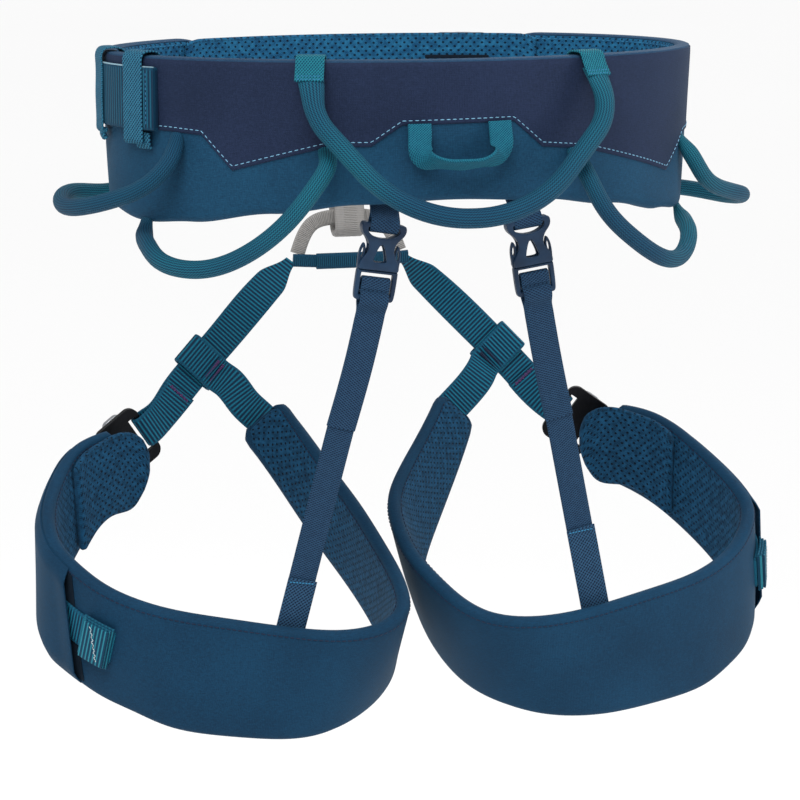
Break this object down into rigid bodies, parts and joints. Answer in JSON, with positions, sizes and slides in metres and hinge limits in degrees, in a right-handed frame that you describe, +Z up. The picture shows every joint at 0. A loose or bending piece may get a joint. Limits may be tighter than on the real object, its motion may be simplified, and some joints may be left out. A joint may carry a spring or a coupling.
{
  "type": "climbing harness",
  "caption": "Adjustable sit harness: padded waist belt with tie-in points, belay loop, five gear loops, haul loop, two padded leg loops on double-back buckles and elastic rear straps",
  "frame": {"origin": "centre of the waist opening, at the middle height of the belt's upper part", "axes": "+Z up as worn, +Y towards the wearer's front, +X towards the wearer's right"},
  "size_m": [0.4213, 0.2826, 0.3677],
  "materials": {
    "yoke_cloth": "plain woven polyester, navy",
    "shell_cloth": "plain woven polyester, petrol blue",
    "foam": "closed-cell foam under cloth",
    "mesh_lining": "spacer mesh with small holes",
    "binding_tape": "narrow woven binding tape",
    "webbing": "ribbed polyamide webbing, teal",
    "wear_webbing": "smooth high-strength webbing, light grey",
    "elastic_web": "woven elastic tape, dark blue",
    "keeper_elastic": "herringbone elastic, dark teal",
    "loop_sheath": "braided sheath over a stiff core",
    "buckle_plastic": "moulded acetal, dark blue",
    "dark_alloy": "black anodised plate",
    "bright_alloy": "polished edge, brushed face"
  },
  "bodies": {
    "waist": {"buckle_socket_left": "buckle_plastic", "buckle_socket_right": "buckle_plastic", "elastic_lower_left": "elastic_web", "elastic_lower_right": "elastic_web", "elastic_upper_left": "elastic_web", "elastic_upper_right": "elastic_web", "leg_cross_strap": "webbing", "lower_tie_in_arch": "wear_webbing", "rear_loop_tab_left": "webbing", "rear_loop_tab_right": "webbing", "rear_tab_left": "elastic_web", "rear_tab_right": "elastic_web", "tail_keeper_rear": "keeper_elastic", "tail_keeper_side": "keeper_elastic", "upper_tie_in_loop": "wear_webbing", "waist_buckle_frame": "dark_alloy", "waist_buckle_tab": "webbing", "waist_edge_binding": "binding_tape", "waist_foam": "foam", "waist_front_tongue": "mesh_lining", "waist_mesh_lining": "mesh_lining", "waist_outer_shell": "shell_cloth", "waist_strap": "webbing", "waist_yoke": "yoke_cloth"},
    "gear_loop_rear": {"gear_loop_rear": "loop_sheath"},
    "gear_loop_side_left": {"gear_loop_side_left": "loop_sheath"},
    "gear_loop_side_right": {"gear_loop_side_right": "loop_sheath"},
    "gear_loop_front_left": {"gear_loop_front_left": "loop_sheath"},
    "gear_loop_front_right": {"gear_loop_front_right": "loop_sheath"},
    "haul_loop": {"haul_loop": "webbing"},
    "belay_loop": {"belay_loop": "webbing"},
    "buckle_plug_left": {"buckle_plug_left": "buckle_plastic"},
    "buckle_plug_right": {"buckle_plug_right": "buckle_plastic"},
    "waist_slider": {"waist_buckle_slider": "bright_alloy"},
    "leg_slider_left": {"leg_buckle_slider_left": "bright_alloy"},
    "leg_slider_right": {"leg_buckle_slider_right": "bright_alloy"},
    "leg_left": {"leg_buckle_frame_left": "dark_alloy", "leg_foam_left": "foam", "leg_keeper_strap_left": "webbing", "leg_lining_left": "mesh_lining", "leg_riser_left": "webbing", "leg_shell_left": "shell_cloth", "leg_sleeve_left": "shell_cloth", "leg_strap_left": "webbing", "leg_strap_stop_left": "webbing", "leg_tongue_left": "mesh_lining"},
    "leg_right": {"leg_buckle_frame_right": "dark_alloy", "leg_foam_right": "foam", "leg_keeper_strap_right": "webbing", "leg_lining_right": "mesh_lining", "leg_riser_right": "webbing", "leg_shell_right": "shell_cloth", "leg_sleeve_right": "shell_cloth", "leg_strap_right": "webbing", "leg_strap_stop_right": "webbing", "leg_tongue_right": "mesh_lining"}
  },
  "joints": [
    {"name": "rear_gear_loop_hinge", "type": "hinge", "parent": "waist", "child": "gear_loop_rear", "pos_m": [0, -0.11025, 0.0294], "axis": [-1, 0, 0], "range_deg": [0, 60]},
    {"name": "side_gear_loop_hinge_left", "type": "hinge", "parent": "waist", "child": "gear_loop_side_left", "pos_m": [-0.071, -0.112, -0.009], "axis": [-0.7182, 0.5783, -0.3871], "range_deg": [0, 25]},
    {"name": "side_gear_loop_hinge_right", "type": "hinge", "parent": "waist", "child": "gear_loop_side_right", "pos_m": [0.067, -0.1125, -0.011], "axis": [-0.7138, -0.5861, 0.3834], "range_deg": [0, 25]},
    {"name": "front_gear_loop_hinge_left", "type": "hinge", "parent": "waist", "child": "gear_loop_front_left", "pos_m": [-0.145, -0.066, -0.004], "axis": [-0.0477, 0.9773, -0.2066], "range_deg": [-6, 20], "stiffness_Nm_per_rad": 0.4},
    {"name": "front_gear_loop_hinge_right", "type": "hinge", "parent": "waist", "child": "gear_loop_front_right", "pos_m": [0.155, -0.049, -0.007], "axis": [0.0366, -0.9706, 0.2381], "range_deg": [-6, 20], "stiffness_Nm_per_rad": 0.4},
    {"name": "haul_loop_hinge", "type": "hinge", "parent": "waist", "child": "haul_loop", "pos_m": [0, -0.1181, 0.0055], "axis": [-1, 0, 0], "range_deg": [0, 60]},
    {"name": "belay_loop_twist", "type": "hinge", "parent": "waist", "child": "belay_loop", "pos_m": [0, 0.12275, -0.0285], "axis": [0, 0.1973, 0.9803], "range_deg": [-6, 6]},
    {"name": "rear_buckle_release_left", "type": "slide", "parent": "waist", "child": "buckle_plug_left", "axis": [-0.1499, 0.02, -0.9885], "range_m": [0, 0.02], "deforming": ["elastic_upper_left"]},
    {"name": "rear_buckle_release_right", "type": "slide", "parent": "waist", "child": "buckle_plug_right", "axis": [0.1499, 0.02, -0.9885], "range_m": [0, 0.02], "deforming": ["elastic_upper_right"]},
    {"name": "leg_swing_left", "type": "hinge", "parent": "waist", "child": "leg_left", "pos_m": [0, 0.112, -0.088], "axis": [1, 0, 0], "range_deg": [-5, 5], "stiffness_Nm_per_rad": 6, "springref_deg": -2.86, "deforming": ["elastic_lower_left"]},
    {"name": "leg_swing_right", "type": "hinge", "parent": "waist", "child": "leg_right", "pos_m": [0, 0.112, -0.088], "axis": [1, 0, 0], "range_deg": [-5, 5], "stiffness_Nm_per_rad": 6, "springref_deg": -2.86, "deforming": ["elastic_lower_right"]},
    {"name": "leg_slider_tilt_left", "type": "hinge", "parent": "leg_left", "child": "leg_slider_left", "pos_m": [-0.14444, 0.08897, -0.19395], "axis": [-0.5489, -0.1985, 0.8119], "range_deg": [0, 25]},
    {"name": "leg_slider_tilt_right", "type": "hinge", "parent": "leg_right", "child": "leg_slider_right", "pos_m": [0.14044, 0.08897, -0.19395], "axis": [-0.5489, 0.1985, -0.8119], "range_deg": [0, 25]},
    {"name": "waist_slider_tilt", "type": "hinge", "parent": "waist", "child": "waist_slider", "pos_m": [0.07677, 0.11152, 0.02], "axis": [0, 0, -1], "range_deg": [0, 25]}
  ]
}
